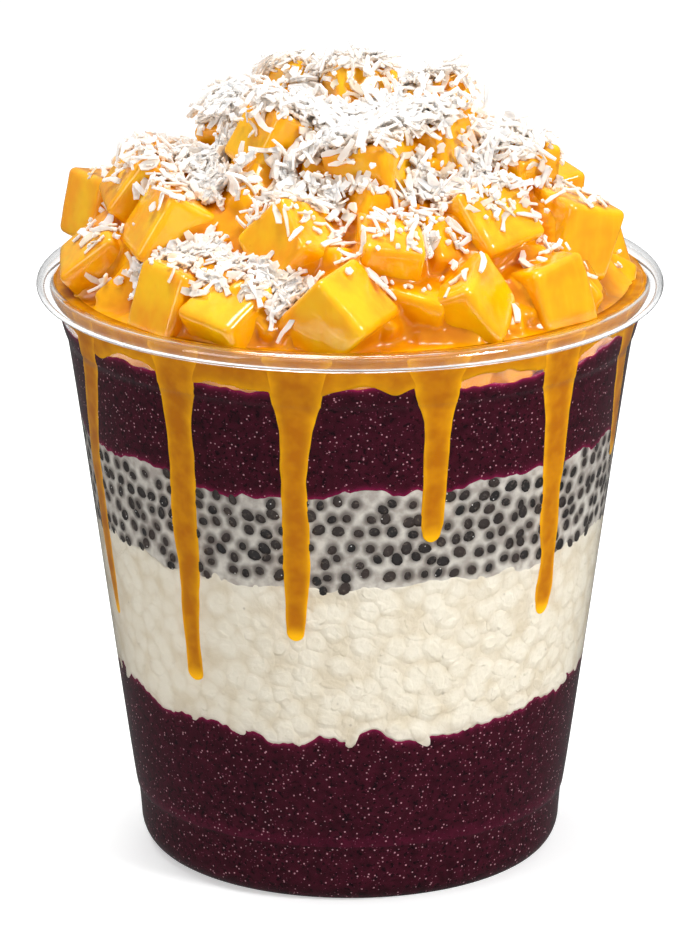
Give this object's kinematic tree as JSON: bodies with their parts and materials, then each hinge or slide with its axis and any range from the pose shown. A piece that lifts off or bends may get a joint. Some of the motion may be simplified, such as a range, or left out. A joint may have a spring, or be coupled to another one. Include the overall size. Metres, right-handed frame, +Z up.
{
  "type": "acai bowl",
  "caption": "Clear tapered cup filled with layers of acai, rice and chia pudding under a high heap of sauced mango cubes.",
  "frame": {"origin": "middle of the flat base, on the surface it stands on", "axes": "+Z up along the cup's axis, the front of the cup faces -Y"},
  "size_m": [0.098, 0.098, 0.1248],
  "materials": {
    "clear_cup": "clear moulded plastic, polished",
    "acai": "frozen fruit puree, fine frosty specks",
    "rice": "moist cooked rice in cream",
    "chia": "wet gel with dark seeds",
    "mango": "wet cut fruit",
    "mango_sauce": "glossy thick fruit sauce",
    "coconut": "dry shredded flakes"
  },
  "bodies": {
    "root": {"acai_lower": "acai", "acai_upper": "acai", "chia_layer": "chia", "cup": "clear_cup", "mango_cube_01": "mango", "mango_cube_02": "mango", "mango_cube_03": "mango", "mango_cube_04": "mango", "mango_cube_05": "mango", "mango_cube_06": "mango", "mango_cube_07": "mango", "mango_cube_08": "mango", "mango_cube_09": "mango", "mango_cube_10": "mango", "mango_cube_11": "mango", "mango_cube_12": "mango", "mango_cube_13": "mango", "mango_cube_14": "mango", "mango_cube_15": "mango", "mango_cube_16": "mango", "mango_cube_17": "mango", "mango_cube_18": "mango", "mango_cube_19": "mango", "mango_cube_20": "mango", "mango_cube_21": "mango", "mango_cube_22": "mango", "mango_cube_23": "mango", "mango_cube_24": "mango", "mango_cube_25": "mango", "mango_cube_26": "mango", "mango_cube_27": "mango", "mango_cube_28": "mango", "mango_cube_29": "mango", "mango_cube_30": "mango", "mango_cube_31": "mango", "mango_mound": "mango_sauce", "rice_layer": "rice"}
  },
  "joints": []
}
